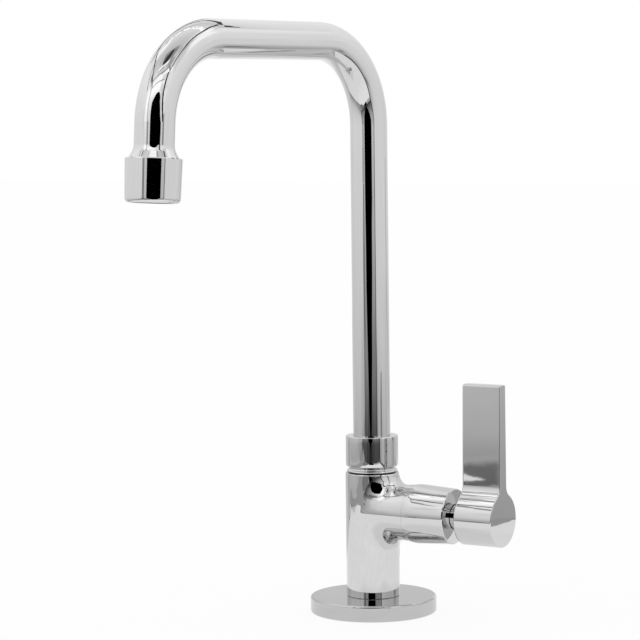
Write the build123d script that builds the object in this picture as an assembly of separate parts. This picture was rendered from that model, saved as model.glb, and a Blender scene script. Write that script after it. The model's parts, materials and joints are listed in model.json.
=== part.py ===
from build123d import *
import os
from math import cos, radians, sin

# A deck-mounted kitchen tap with a swivel spout and a quarter-turn lever.
# Millimetres. The origin is the centre of the base's seat on the deck, +Z is up, the valve arm points
# along +X, and the spout at rest points nearly along -Y, turned a little away from the lever.

# Clearances
running_play = 0.05
thread_play = 0.05
seat_play = 0.05
loose_play = 0.25
ring_play = 0.1
cutter_past = 1.0

# Base disc and its gasket
flange_d = 60.0
flange_t = 7.7
flange_edge_r = 1.0
gasket_outer_d = 52.0
gasket_inner_d = 38.0
gasket_t = 2.5

# Column
column_d = 25.4
column_top_z = 67.1
column_foot_chamfer = 0.3
column_top_edge = 0.3

# Threads, drawn at their major diameters
inlet_thread_d = 20.955
collar_thread_d = 20.955
bonnet_thread_d = 24.0
headwork_thread_d = 20.0
outlet_thread_d = 22.0

# Inlet shank and what clamps the tap to a worktop
shank_grip = 12.3
shank_below = 55.0
shank_bore_d = 15.0
shank_end_chamfer = 1.0
supply_thread_l = 15.5
relief_w = 2.0
relief_depth = 0.8
worktop_t = 20.0
deck_washer_d = 42.0
deck_gasket_t = 3.0
deck_washer_t = 2.0
back_nut_af = 27.0
back_nut_t = 8.0

# Valve arm
arm_z = 48.5
neck_root_d = 24.4
neck_d = 26.4
neck_taper_end_x = 20.0
neck_end_x = 23.2
junction_r = 4.8
joint_d = 27.2
joint_rise_l = 1.1
joint_blend_r = 5.0
arm_thread_l = 14.0
arm_thread_chamfer = 0.6

# Water ways in the body
inlet_bore_d = 13.0
socket_gap = 1.0
port_d = 9.0
seat_x = 14.5
chamber_d = 18.0
chamber_l = 13.0
passage_d = 5.2
passage_low_x = 21.0
passage_low_rise = 6.0
passage_high_x = 3.0
passage_high_rise = 13.0

# Spout socket, collar nut and bearing rings
tailpiece_d = 15.0
tailpiece_l = 16.6
tailpiece_bore_d = 9.2
tailpiece_spigot_l = 12.0
socket_spare = 5.5
shoulder_d = 18.4
shoulder_t = 2.0
slip_ring_d = 20.4
slip_ring_t = 1.0
nipple_l = 11.3
collar_d = 24.9
collar_joint = 0.15
collar_lip_t = 1.85
collar_neck_d = 22.2
collar_neck_l = 1.5
collar_bevel_l = 1.5
collar_top_edge_r = 0.5
spout_ring_cord = 1.8
spout_ring_squeeze = 0.05
spout_groove_w = 2.4
spout_groove_low = 3.8
spout_groove_step = 5.4

# Spout tube
tube_d = 17.6
tube_wall = 1.0
tube_hole_play = 0.1
reach = 150.0
spout_top_z = 269.7
bend_r = 38.5
outlet_lean = 4.0
swivel_rest = 5.5

# Outlet, measured up from its mouth along its own axis
mouth_drop = 69.9
flare_d = 22.0
flare_l = 3.9
flare_start_l = 1.6
flare_blend_r = 5.0
housing_l = 19.1
housing_top_d = 24.8
housing_mouth_d = 24.0
housing_top_chamfer = 0.4
housing_mouth_r = 2.0
mouth_d = 18.4
mouth_lip_t = 1.6
adapter_bore_d = 12.0
adapter_spigot_l = 7.5
aerator_gasket_t = 2.0
aerator_gasket_bore_d = 14.0
screen_t = 0.4
screen_cell = 1.4
screen_pitch = 1.9
diffuser_t = 1.8
jet_d = 1.2
jet_circle_d = 12.0
jet_count = 12
insert_skirt_bore_d = 18.0
honeycomb_cell = 2.1
honeycomb_pitch = 2.6
honeycomb_depth = 2.2
insert_rim_h = 1.0

# Bonnet over the valve
bonnet_root_d = 28.0
bonnet_end_d = 26.0
bonnet_end_x = 44.7
bonnet_end_edge = 0.4
bonnet_hole_play = 0.45
bonnet_plate_t = 2.0
bonnet_cavity_d = 22.6

# Ceramic valve headwork, built along the arm
skirt_d = 17.6
skirt_setback = 1.5
headwork_bore_d = 14.6
headwork_flange_d = 22.0
headwork_flange_t = 1.4
headwork_hex_af = 19.0
headwork_hex_t = 3.6
headwork_neck_d = 11.2
headwork_neck_end_x = 48.4
window_w = 8.0
window_l = 4.8
seat_seal_d = 14.4
seat_seal_t = 2.6
ceramic_t = 3.0
fixed_disc_d = 14.4
moving_disc_d = 14.0
ceramic_window_outer_d = 11.2
ceramic_window_inner_d = 4.2
ceramic_window_angle = 76.0
drive_slot_w = 3.2
drive_slot_depth = 1.8
driver_d = 13.8
driver_t = 2.2
driver_w = 7.0
tang_setback = 1.0
friction_washer_t = 1.2

# Spindle
spindle_d = 8.0
spindle_ring_cord = 1.5
spindle_ring_squeeze = 0.1
spindle_groove_w = 2.0
spindle_groove_x = 31.0
spindle_groove_step = 5.0
spindle_end_d = 7.8
spindle_end_x = 62.5
spindle_flat_depth = 1.0
spindle_flat_setback = 1.0
circlip_d = 10.4
circlip_t = 0.8
circlip_gap = 0.25
circlip_groove_depth = 0.6
circlip_mouth = 3.0

# Lever handle
hub_d = 25.2
hub_x = 50.3
hub_w = 19.8
hub_edge_r = 0.9
hub_end_edge_r = 0.35
boss_d = 12.6
boss_wall = 0.8
boss_gap = 0.2
lever_rise = 62.8
lever_tip_t = 5.4
lever_root_t = 7.0
lever_blend_r = 5.5
lever_tip_edge_r = 1.0
spindle_hole_spare = 0.5
grub_d = 5.0
grub_l = 6.0
grub_x = 57.0
grub_key_af = 2.5
grub_key_depth = 2.5


# Points closer than this are one place
same_place = 0.01

# Solids stand on their lower height
standing = (Align.CENTER, Align.CENTER, Align.MIN)

# Heights and lengths that follow from the sizes above
shank_top_z = flange_t + shank_grip
inlet_socket_top_z = shank_top_z + socket_gap
nipple_top_z = column_top_z + nipple_l
shoulder_z = nipple_top_z + slip_ring_t + seat_play
tube_start_z = shoulder_z + shoulder_t
upper_ring_z = tube_start_z + seat_play
collar_lip_z = upper_ring_z + slip_ring_t + seat_play
collar_top_z = collar_lip_z + collar_lip_t
tailpiece_end_z = shoulder_z - tailpiece_l
socket_floor_z = tailpiece_end_z - socket_spare
spout_socket_d = tailpiece_d + 2 * running_play
tube_bore_d = tube_d - 2 * tube_wall
arm_thread_end_x = neck_end_x + arm_thread_l
chamber_end_x = seat_x + chamber_l
fixed_disc_x = seat_x + seat_seal_t + seat_play
moving_disc_x = fixed_disc_x + ceramic_t + seat_play
driver_x = moving_disc_x + ceramic_t + seat_play
friction_washer_x = driver_x + driver_t + seat_play
headwork_bore_end_x = friction_washer_x + friction_washer_t + seat_play
headwork_front_x = seat_x + skirt_setback
headwork_hex_x = arm_thread_end_x + seat_play + headwork_flange_t
headwork_neck_x = headwork_hex_x + headwork_hex_t
spindle_hole_d = spindle_d + 2 * running_play
circlip_x = headwork_neck_end_x + circlip_gap
circlip_groove_d = spindle_d - 2 * circlip_groove_depth
boss_start_x = headwork_neck_end_x + boss_gap
boss_floor_x = circlip_x + circlip_t + circlip_gap + running_play
handle_hole_d = spindle_end_d + 2 * running_play
handle_hole_end_x = spindle_end_x + spindle_hole_spare
housing_bore_d = outlet_thread_d + 2 * thread_play
flare_top_h = housing_l + flare_l
flare_start_h = flare_top_h + flare_start_l
insert_top_h = mouth_lip_t + seat_play + honeycomb_depth + insert_rim_h
diffuser_h = insert_top_h + seat_play
screen_h = diffuser_h + diffuser_t + seat_play
aerator_gasket_h = screen_h + screen_t + seat_play
adapter_end_h = aerator_gasket_h + aerator_gasket_t + seat_play


def turned(*profile):
    """A solid turned about Z from a closed outline of (radius, height) points."""
    outline = Polyline(*[(radius, 0, height) for radius, height in profile], close=True)
    return revolve(make_face(outline), Axis.Z)


def cylinder(diameter, low, high):
    """A plain cylinder on Z between two heights."""
    return Pos(0, 0, low) * Cylinder(diameter / 2, high - low, align=standing)


def ring(outer_d, inner_d, low, high):
    """A plain ring on Z between two heights."""
    return cylinder(outer_d, low, high) - cylinder(inner_d, low, high)


def slab(width, depth, low, high):
    """A rectangular block centred on Z between two heights."""
    return Pos(0, 0, low) * Box(width, depth, high - low, align=standing)


def edges_at(part, height):
    """The circular edges of a part about Z at one height."""
    return [e for e in part.edges().filter_by(GeomType.CIRCLE) if abs(e.center().Z - height) < same_place]


def outermost(edges):
    """The widest of some circular edges."""
    return max(edges, key=lambda edge: edge.radius)


def hexagon(across_flats, low, high):
    """A hexagonal prism on Z between two heights."""
    outline = RegularPolygon(across_flats / 2, 6, major_radius=False)
    return Pos(0, 0, low) * extrude(outline, high - low)


def hex_nut(across_flats, hole_d, low, high, bevel):
    """A hexagonal nut with its corners turned off at both faces."""
    corner_r = across_flats / 2 / cos(radians(30))
    limit = turned((0, low), (corner_r - bevel, low), (corner_r, low + bevel / 2),
                   (corner_r, high - bevel / 2), (corner_r - bevel, high), (0, high))
    return (hexagon(across_flats, low, high) & limit) - cylinder(hole_d, low, high)


def sealing_ring(outer_d, cord, height):
    """A round-section sealing ring with its centre plane at a height."""
    return Pos(0, 0, height) * Torus(outer_d / 2 - cord / 2, cord / 2)


def cells(size, pitch, reach_d):
    """Hexagonal cells in a honeycomb pattern, all inside a circle."""
    rows = int(reach_d / pitch) + 2
    places = []
    for row in range(-rows, rows + 1):
        for column in range(-rows, rows + 1):
            x = (column + row / 2) * pitch
            y = row * pitch * sin(radians(60))
            if (x * x + y * y) ** 0.5 + size / 2 / cos(radians(30)) <= reach_d / 2:
                places.append(Pos(x, y))
    return [place * Rot(0, 0, 30) * RegularPolygon(size / 2, 6, major_radius=False) for place in places]


def on_arm(part):
    """Lays a part built about Z along the arm, so that its heights become distances along +X."""
    return Pos(0, 0, arm_z) * Rot(0, 90, 0) * part


def outlet_direction():
    """The way the water leaves, down the leaning outlet leg."""
    lean = radians(outlet_lean)
    return Vector(0, -sin(lean), -cos(lean))


def at_rest_swivel(part):
    """Turns a part built with the spout along -Y to the spout's rest direction."""
    return Rot(0, 0, -swivel_rest) * part


def on_outlet(part):
    """Places a part built about Z, with its zero at the mouth, on the outlet leg at the rest swivel."""
    mouth = Vector(0, -reach, spout_top_z) + outlet_direction() * mouth_drop
    return at_rest_swivel(Location(mouth) * Rot(-outlet_lean, 0, 0) * part)


def base_flange():
    disc = cylinder(flange_d, 0, flange_t)
    disc = fillet(disc.edges().filter_by(GeomType.CIRCLE), flange_edge_r)
    groove = ring(gasket_outer_d + 2 * ring_play, gasket_inner_d - 2 * ring_play, 0, gasket_t + seat_play)
    return disc - groove - cylinder(inlet_thread_d + 2 * loose_play, 0, flange_t)


def base_gasket():
    return ring(gasket_outer_d, gasket_inner_d, 0, gasket_t)


def inlet_shank():
    """The hollow threaded tail, with a relief groove above the length that takes the supply pipe's nut."""
    r = inlet_thread_d / 2
    c = shank_end_chamfer
    bore_r = shank_bore_d / 2
    tail = turned((bore_r, -shank_below), (r - c, -shank_below), (r, c - shank_below),
                  (r, shank_top_z - c), (r - c, shank_top_z), (bore_r, shank_top_z))
    relief_z = c - shank_below + supply_thread_l
    relief_d = inlet_thread_d - 2 * relief_depth
    return tail - ring(inlet_thread_d + cutter_past, relief_d, relief_z, relief_z + relief_w)


def deck_gasket():
    return ring(deck_washer_d, inlet_thread_d + 2 * loose_play, -worktop_t - deck_gasket_t, -worktop_t)


def deck_washer():
    top = -worktop_t - deck_gasket_t
    return ring(deck_washer_d, inlet_thread_d + 2 * loose_play, top - deck_washer_t, top)


def back_nut():
    top = -worktop_t - deck_gasket_t - deck_washer_t
    return hex_nut(back_nut_af, inlet_thread_d + 2 * thread_play, top - back_nut_t, top, shank_end_chamfer)


def body_outside():
    """The column and the arm's neck as one casting, with the crease between them rounded."""
    r = column_d / 2
    c = column_foot_chamfer
    e = column_top_edge
    column = turned((0, flange_t), (r - c, flange_t), (r, flange_t + c), (r, column_top_z - e),
                    (r - e, column_top_z), (0, column_top_z))
    rise_x = neck_end_x - joint_rise_l
    neck = turned((0, 0), (neck_root_d / 2, 0), (neck_d / 2, neck_taper_end_x), (neck_d / 2, rise_x),
                  (joint_d / 2, neck_end_x), (0, neck_end_x))
    casting = column + on_arm(fillet(edges_at(neck, rise_x), joint_blend_r))
    crease = casting.edges().filter_by(GeomType.BSPLINE)
    return fillet(crease, junction_r)


def tap_body():
    nipple = cylinder(collar_thread_d, column_top_z, nipple_top_z)
    r = bonnet_thread_d / 2
    c = arm_thread_chamfer
    arm_thread = on_arm(turned((0, neck_end_x), (r, neck_end_x), (r, arm_thread_end_x - c),
                               (r - c, arm_thread_end_x), (0, arm_thread_end_x)))
    body = body_outside() + nipple + arm_thread
    body -= cylinder(inlet_thread_d + 2 * thread_play, flange_t, inlet_socket_top_z)
    body -= cylinder(inlet_bore_d, inlet_socket_top_z, arm_z + port_d / 2)
    body -= on_arm(cylinder(port_d, 0, seat_x))
    body -= on_arm(cylinder(chamber_d, seat_x, chamber_end_x))
    body -= on_arm(cylinder(headwork_thread_d + 2 * thread_play, chamber_end_x, arm_thread_end_x))
    body -= cylinder(spout_socket_d, socket_floor_z, nipple_top_z)
    low = Vector(passage_low_x, 0, arm_z + passage_low_rise)
    high = Vector(passage_high_x, 0, arm_z + passage_high_rise)
    drill = Plane(origin=low, z_dir=high - low)
    return body - extrude(drill * Circle(passage_d / 2), (high - low).length)


def collar_nut():
    r = collar_d / 2
    bottom = column_top_z + collar_joint
    thread_r = collar_thread_d / 2 + thread_play
    hole_r = tube_d / 2 + tube_hole_play
    neck_r = collar_neck_d / 2
    neck_top = bottom + collar_neck_l
    nut = turned((thread_r, bottom), (neck_r, bottom), (neck_r, neck_top), (r, neck_top + collar_bevel_l),
                 (r, collar_top_z), (hole_r, collar_top_z), (hole_r, collar_lip_z),
                 (thread_r, collar_lip_z))
    return fillet(outermost(edges_at(nut, collar_top_z)), collar_top_edge_r)


def slip_ring_lower():
    return ring(slip_ring_d, tailpiece_d + 2 * ring_play, nipple_top_z, nipple_top_z + slip_ring_t)


def slip_ring_upper():
    return ring(slip_ring_d, tube_d + 2 * ring_play, upper_ring_z, upper_ring_z + slip_ring_t)


def spout_tailpiece():
    """The brazed end of the spout: a spigot in the tube, a shoulder, and a grooved end for the seals."""
    spigot = cylinder(tube_bore_d - 2 * running_play, tube_start_z, tube_start_z + tailpiece_spigot_l)
    end = cylinder(tailpiece_d, tailpiece_end_z, shoulder_z)
    piece = end + cylinder(shoulder_d, shoulder_z, tube_start_z) + spigot
    for height in spout_groove_heights():
        low = height - spout_groove_w / 2
        piece -= ring(tailpiece_d + cutter_past, spout_groove_floor_d(), low, low + spout_groove_w)
    return piece - cylinder(tailpiece_bore_d, tailpiece_end_z, tube_start_z + tailpiece_spigot_l)


def spout_groove_heights():
    low = tailpiece_end_z + spout_groove_low
    return low, low + spout_groove_step


def spout_groove_floor_d():
    return tailpiece_d - 2 * spout_ring_squeeze - 2 * spout_ring_cord - 2 * running_play


def spout_o_ring(height):
    return sealing_ring(tailpiece_d - 2 * spout_ring_squeeze, spout_ring_cord, height)


def spout_tube():
    """The bent tube: a riser, a run across and a leaning leg that opens to a cone above the aerator."""
    start = Vector(0, 0, tube_start_z)
    corner = Vector(0, -reach, spout_top_z)
    leg_end = corner + outlet_direction() * (mouth_drop - flare_start_h)
    route = FilletPolyline(start, (0, 0, spout_top_z), corner, leg_end, radius=bend_r)
    section = Plane(origin=start, z_dir=(0, 0, 1))
    outside = sweep(section * Circle(tube_d / 2), path=route)
    inside = sweep(section * Circle(tube_bore_d / 2), path=route)
    return at_rest_swivel(outside - inside) + on_outlet(flare())


def flare():
    """The last stretch of the tube, opened to a cone whose bend is rounded inside and out."""
    flare_r = flare_d / 2
    outside_r = tube_d / 2
    bore_r = tube_bore_d / 2
    cone = turned((bore_r, flare_start_h), (outside_r, flare_start_h), (outside_r, flare_top_h),
                  (flare_r, housing_l), (flare_r - tube_wall, housing_l), (bore_r, flare_top_h))
    return fillet(edges_at(cone, flare_top_h), flare_blend_r)


def outlet_adapter():
    """The brazed end of the outlet leg: a spigot, a cone under the flare, and the aerator's thread."""
    spigot_r = tube_bore_d / 2 - running_play
    thread_r = outlet_thread_d / 2
    bore_r = adapter_bore_d / 2
    return on_outlet(turned((bore_r, adapter_end_h), (thread_r, adapter_end_h),
                            (thread_r, housing_l - seat_play),
                            (flare_d / 2 - tube_wall - running_play, housing_l - seat_play),
                            (spigot_r, flare_top_h), (spigot_r, flare_top_h + adapter_spigot_l),
                            (bore_r, flare_top_h + adapter_spigot_l)))


def aerator_housing():
    top_r = housing_top_d / 2
    mouth_r = housing_mouth_d / 2
    c = housing_top_chamfer
    bore_r = housing_bore_d / 2
    shell = turned((mouth_d / 2, 0), (mouth_r, 0), (top_r, housing_l - c), (top_r - c, housing_l),
                   (bore_r, housing_l), (bore_r, mouth_lip_t), (mouth_d / 2, mouth_lip_t))
    return on_outlet(fillet(outermost(edges_at(shell, 0)), housing_mouth_r))


def aerator_gasket():
    return on_outlet(ring(outlet_thread_d - 2 * ring_play, aerator_gasket_bore_d, aerator_gasket_h,
                          aerator_gasket_h + aerator_gasket_t))


def aerator_screen():
    holes = cells(screen_cell, screen_pitch, aerator_gasket_bore_d)
    disc = cylinder(outlet_thread_d - 2 * ring_play, 0, screen_t)
    disc -= [extrude(hole, screen_t) for hole in holes]
    return on_outlet(Pos(0, 0, screen_h) * disc)


def aerator_diffuser():
    disc = cylinder(outlet_thread_d - 2 * ring_play, 0, diffuser_t)
    jets = PolarLocations(jet_circle_d / 2, jet_count)
    disc -= [place * cylinder(jet_d, 0, diffuser_t) for place in jets]
    return on_outlet(Pos(0, 0, diffuser_h) * disc)


def aerator_insert():
    """A honeycomb straightener, open above its cells."""
    low = mouth_lip_t + seat_play
    body = cylinder(outlet_thread_d - 2 * ring_play, low, insert_top_h)
    body -= cylinder(insert_skirt_bore_d, low + honeycomb_depth, insert_top_h)
    holes = cells(honeycomb_cell, honeycomb_pitch, mouth_d - 2 * ring_play)
    body -= [Pos(0, 0, low) * extrude(hole, honeycomb_depth) for hole in holes]
    return on_outlet(body)


def valve_bonnet():
    root_r = bonnet_root_d / 2
    end_r = bonnet_end_d / 2
    c = bonnet_end_edge
    thread_r = bonnet_thread_d / 2 + thread_play
    cavity_r = bonnet_cavity_d / 2
    hole_r = headwork_neck_d / 2 + bonnet_hole_play
    plate_x = bonnet_end_x - bonnet_plate_t
    start_x = neck_end_x + seat_play
    rise_x = start_x + joint_rise_l
    bonnet = turned((thread_r, start_x), (joint_d / 2, start_x), (root_r, rise_x),
                    (end_r, bonnet_end_x - c), (end_r - c, bonnet_end_x), (hole_r, bonnet_end_x),
                    (hole_r, plate_x), (cavity_r, plate_x), (cavity_r, arm_thread_end_x + seat_play),
                    (thread_r, arm_thread_end_x + seat_play))
    return on_arm(fillet(edges_at(bonnet, rise_x), joint_blend_r))


def cartridge_body():
    """The brass headwork: a windowed skirt, a thread, a stop flange, a hexagon and a neck."""
    flange_x = arm_thread_end_x + seat_play
    skirt = cylinder(skirt_d, headwork_front_x, chamber_end_x)
    thread = cylinder(headwork_thread_d, chamber_end_x + thread_play, flange_x)
    flange = cylinder(headwork_flange_d, flange_x, headwork_hex_x)
    limit = cylinder(headwork_flange_d - 2 * thread_play, headwork_hex_x, headwork_neck_x)
    hexagonal = hexagon(headwork_hex_af, headwork_hex_x, headwork_neck_x) & limit
    neck = cylinder(headwork_neck_d, headwork_neck_x, headwork_neck_end_x)
    throat = cylinder(skirt_d, chamber_end_x, chamber_end_x + thread_play)
    piece = skirt + throat + thread + flange + hexagonal + neck
    piece -= cylinder(headwork_bore_d, headwork_front_x, headwork_bore_end_x)
    piece -= cylinder(spindle_hole_d, headwork_bore_end_x, headwork_neck_end_x)
    window = slab(window_w, skirt_d, driver_x - window_l / 2, driver_x + window_l / 2)
    return on_arm(piece - window)


def seat_seal():
    return on_arm(ring(seat_seal_d, port_d + 2 * ring_play, seat_x, seat_x + seat_seal_t))


def ceramic_windows(first_angle):
    """Two opposite sector openings between two circles, as a sketch."""
    band = Circle(ceramic_window_outer_d / 2) - Circle(ceramic_window_inner_d / 2)
    half = radians(ceramic_window_angle / 2)
    far_x = ceramic_window_outer_d * cos(half)
    far_y = ceramic_window_outer_d * sin(half)
    wedge = make_face(Polyline((0, 0), (far_x, far_y), (far_x, -far_y), close=True))
    wedges = Rot(0, 0, first_angle) * wedge + Rot(0, 0, first_angle + 180) * wedge
    return band & wedges


def fixed_disc():
    disc = cylinder(fixed_disc_d, 0, ceramic_t) - extrude(ceramic_windows(0), ceramic_t)
    return on_arm(Pos(0, 0, fixed_disc_x) * disc)


def moving_disc():
    """The turning ceramic disc. At rest its openings lie a quarter turn from the fixed ones."""
    disc = cylinder(moving_disc_d, 0, ceramic_t) - extrude(ceramic_windows(90), ceramic_t)
    slot = slab(moving_disc_d, drive_slot_w, ceramic_t - drive_slot_depth, ceramic_t)
    return on_arm(Pos(0, 0, moving_disc_x) * (disc - slot))


def friction_washer():
    high = friction_washer_x + friction_washer_t
    return on_arm(ring(moving_disc_d, spindle_d + 2 * ring_play, friction_washer_x, high))


def spindle_groove_places():
    return spindle_groove_x, spindle_groove_x + spindle_groove_step


def spindle():
    """Tang and driver in the disc's slot, a grooved shaft, and a flatted end for the handle."""
    driver_end_x = driver_x + driver_t
    driver = cylinder(driver_d, driver_x, driver_end_x) & slab(driver_d, driver_w, driver_x, driver_end_x)
    tang = slab(driver_d - 2 * tang_setback, drive_slot_w - 2 * running_play,
                driver_x - drive_slot_depth + running_play, driver_x)
    shaft = cylinder(spindle_d, driver_end_x, boss_floor_x)
    end = cylinder(spindle_end_d, boss_floor_x, spindle_end_x)
    piece = driver + tang + shaft + end
    for place in spindle_groove_places():
        low = place - spindle_groove_w / 2
        floor_d = spindle_d - 2 * spindle_ring_squeeze - 2 * spindle_ring_cord - 2 * running_play
        piece -= ring(spindle_d + cutter_past, floor_d, low, low + spindle_groove_w)
    piece -= ring(spindle_d + cutter_past, circlip_groove_d, circlip_x - running_play,
                  circlip_x + circlip_t + running_play)
    flat = slab(spindle_end_d, spindle_end_d, boss_floor_x + spindle_flat_setback, spindle_end_x)
    return on_arm(piece - Pos(spindle_end_d - spindle_flat_depth, 0, 0) * flat)


def spindle_o_ring(place):
    return on_arm(sealing_ring(spindle_d - 2 * spindle_ring_squeeze, spindle_ring_cord, place))


def circlip():
    """An open snap ring in the spindle's outer groove."""
    clip = ring(circlip_d, circlip_groove_d + 2 * running_play, circlip_x, circlip_x + circlip_t)
    mouth = slab(circlip_d, circlip_mouth, circlip_x, circlip_x + circlip_t)
    return on_arm(clip - Pos(-circlip_d / 2, 0, 0) * mouth)


def lever_outline():
    """The end view of the handle: a round hub that flows into a thin tapering blade."""
    blade = make_face(Polyline((-lever_root_t / 2, 0), (lever_root_t / 2, 0), (lever_tip_t / 2, lever_rise),
                               (-lever_tip_t / 2, lever_rise), close=True))
    outline = Circle(hub_d / 2) + blade
    corners = outline.vertices().group_by(Axis.Y)
    outline = fillet(corners[-1], lever_tip_edge_r)
    creases = [v for v in outline.vertices() if abs(v.center().length - hub_d / 2) < same_place]
    return fillet(creases, lever_blend_r)


def lever_handle():
    """Hub and blade as one casting, with a boss over the headwork's neck."""
    profile = Plane(origin=(hub_x, 0, arm_z), x_dir=(0, 1, 0), z_dir=(1, 0, 0))
    handle = extrude(profile * lever_outline(), hub_w)
    inner_edges = handle.edges().group_by(Axis.X)[0]
    handle = fillet(inner_edges, hub_edge_r)
    outer_edges = handle.edges().group_by(Axis.X)[-1]
    handle = fillet(outer_edges, hub_end_edge_r)
    boss = on_arm(cylinder(boss_d, boss_start_x, hub_x + hub_edge_r))
    handle = handle + boss
    handle -= on_arm(cylinder(boss_d - 2 * boss_wall, boss_start_x, boss_floor_x))
    handle -= on_arm(cylinder(handle_hole_d, boss_floor_x, handle_hole_end_x))
    screw_hole = cylinder(grub_d + 2 * thread_play, arm_z - hub_d / 2, arm_z)
    return handle - Pos(grub_x, 0, 0) * screw_hole


def grub_screw():
    tip_z = arm_z - spindle_end_d / 2 + spindle_flat_depth - running_play
    screw = cylinder(grub_d, tip_z - grub_l, tip_z)
    key = hexagon(grub_key_af, tip_z - grub_l, tip_z - grub_l + grub_key_depth)
    return Pos(grub_x, 0, 0) * (screw - key)


def build():
    spout_low, spout_high = spout_groove_heights()
    spindle_low, spindle_high = spindle_groove_places()
    return {
        "base_flange": base_flange(),
        "base_gasket": base_gasket(),
        "inlet_shank": inlet_shank(),
        "deck_gasket": deck_gasket(),
        "deck_washer": deck_washer(),
        "back_nut": back_nut(),
        "tap_body": tap_body(),
        "collar_nut": collar_nut(),
        "slip_ring_lower": slip_ring_lower(),
        "slip_ring_upper": slip_ring_upper(),
        "valve_bonnet": valve_bonnet(),
        "cartridge_body": cartridge_body(),
        "seat_seal": seat_seal(),
        "fixed_disc": fixed_disc(),
        "friction_washer": friction_washer(),
        "spout_tube": spout_tube(),
        "spout_tailpiece": spout_tailpiece(),
        "spout_o_ring_lower": spout_o_ring(spout_low),
        "spout_o_ring_upper": spout_o_ring(spout_high),
        "outlet_adapter": outlet_adapter(),
        "aerator_housing": aerator_housing(),
        "aerator_gasket": aerator_gasket(),
        "aerator_screen": aerator_screen(),
        "aerator_diffuser": aerator_diffuser(),
        "aerator_insert": aerator_insert(),
        "lever_handle": lever_handle(),
        "spindle": spindle(),
        "spindle_o_ring_inner": spindle_o_ring(spindle_low),
        "spindle_o_ring_outer": spindle_o_ring(spindle_high),
        "moving_disc": moving_disc(),
        "circlip": circlip(),
        "grub_screw": grub_screw(),
    }


def main():
    os.makedirs("parts", exist_ok=True)
    for name, part in build().items():
        export_step(part, os.path.join("parts", name + ".step"))
        print(name, len(part.solids()), round(part.volume, 1))


main()
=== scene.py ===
import json
import math
from random import Random

import bmesh
import bpy
import numpy as np
from mathutils import Matrix, Vector


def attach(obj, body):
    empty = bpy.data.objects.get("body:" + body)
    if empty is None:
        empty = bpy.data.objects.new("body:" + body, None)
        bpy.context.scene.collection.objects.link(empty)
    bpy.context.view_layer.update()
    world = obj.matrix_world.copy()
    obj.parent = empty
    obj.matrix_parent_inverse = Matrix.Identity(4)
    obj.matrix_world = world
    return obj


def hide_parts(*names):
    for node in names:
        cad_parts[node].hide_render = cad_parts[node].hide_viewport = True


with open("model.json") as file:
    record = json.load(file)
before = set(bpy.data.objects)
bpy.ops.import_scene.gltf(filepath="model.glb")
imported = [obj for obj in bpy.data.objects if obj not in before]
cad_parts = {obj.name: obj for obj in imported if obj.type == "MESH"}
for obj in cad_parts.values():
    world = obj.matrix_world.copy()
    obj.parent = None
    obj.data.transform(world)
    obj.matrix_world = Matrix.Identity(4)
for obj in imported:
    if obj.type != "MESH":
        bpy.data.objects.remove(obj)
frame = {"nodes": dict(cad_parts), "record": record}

# The camera, in metres and radians, in a studio frame that is level and faces the tap: x right, y away
ARM_TURN = math.radians(31.9)
CAMERA_SIDE = -0.02393
CAMERA_BACK = 1.2
CAMERA_HEIGHT = 0.23911
CAMERA_PITCH = 0.082949
CAMERA_ROLL = -0.012178
FOCAL_PIXELS = 2547.05
FRAME_PIXELS = 640
SENSOR_MM = 36.0
CLIP_END = 10.0

# The walls of the light tent that the chrome mirrors, in metres in the studio frame
LEFT = -0.386
RIGHT = 0.320
FRONT = -0.460
BACK = 0.140
TOP = 0.600
TABLE = 0.0003

# How far panels and seams lie in front of a wall, and how much closer they lie to the table
PANEL_PROUD = 0.001
SEAM_PROUD = 0.002
TABLE_CLOSER = 5

# The brightest that a wall's fade can be
GLOW_GAIN = 2.0

# The unevenness of the tent's cloth, of the edges of its patches, and of its ragged seams
WRINKLE_SCALE = 30.0
WRINKLE_DETAIL = 4.0
WRINKLE_LEVEL = 0.08
WAVER_SCALE = 55.0
WAVER_DETAIL = 3.0
NOISE_MIDDLE = 0.5
RAGGED_STEP = 0.012
SEED = 4

# The meshes made here: a millimetre in metres, and the angle that counts as an edge
MM = 0.001
SMOOTH_ANGLE = math.radians(32)

# The column of the casting, in millimetres, and the undercut in its rim: its height, and for the painted
# shade there, the radius inside which the chrome is painted dark, and how softly that painted shade ends
COLUMN_R = 12.7
COLUMN_LOW = 7.7
COLUMN_HIGH = 67.1
COLUMN_CHAMFER = 0.3
UNDERCUT = 0.45
PAINTED_SHADE_R = 12.3
PAINTED_SHADE_EDGE = 0.05
RIM = COLUMN_HIGH - UNDERCUT

# The casting's turned ends, as distances along the axis and radii in millimetres: the rim with the threaded
# nipple above it, the foot with its socket, and the end of the arm with its thread and the valve's seat
RIM_PROFILE = [(RIM, 12.4), (RIM, 11.2), (67.1, 11.2), (67.1, 10.4775), (78.4, 10.4775), (78.4, 7.55),
               (57.35, 7.55)]
FOOT_PROFILE = [(7.7, 12.4), (7.7, 10.5275), (21.0, 10.5275), (21.0, 6.5), (53.0, 6.5)]
ARM_PROFILE = [(23.2, 12.0), (36.6, 12.0), (37.2, 11.4), (37.2, 10.05), (27.5, 10.05), (27.5, 9.0),
               (14.5, 9.0), (14.5, 4.5), (7.0, 4.5)]

# The neck of the arm, in millimetres: its axis and end, a slow taper, a flare near the end, and the dip at
# the joint with the bonnet
ARM_HEIGHT = 48.5
ARM_END = 23.2
NECK_R = 12.66
NECK_SLOPE = 0.0247
NECK_FLARE = 0.368
NECK_FLARE_START = 12.0
NECK_FLARE_POWER = 3
JOINT_DIP = 0.02
JOINT_WIDTH = 1.0

# The blend of column and neck, in millimetres: its width where they meet squarely, how much it widens in
# between, and its width where they run side by side
BLEND = 6.2
BLEND_WIDEN = 2.0
BLEND_LEAST = 0.12

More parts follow.
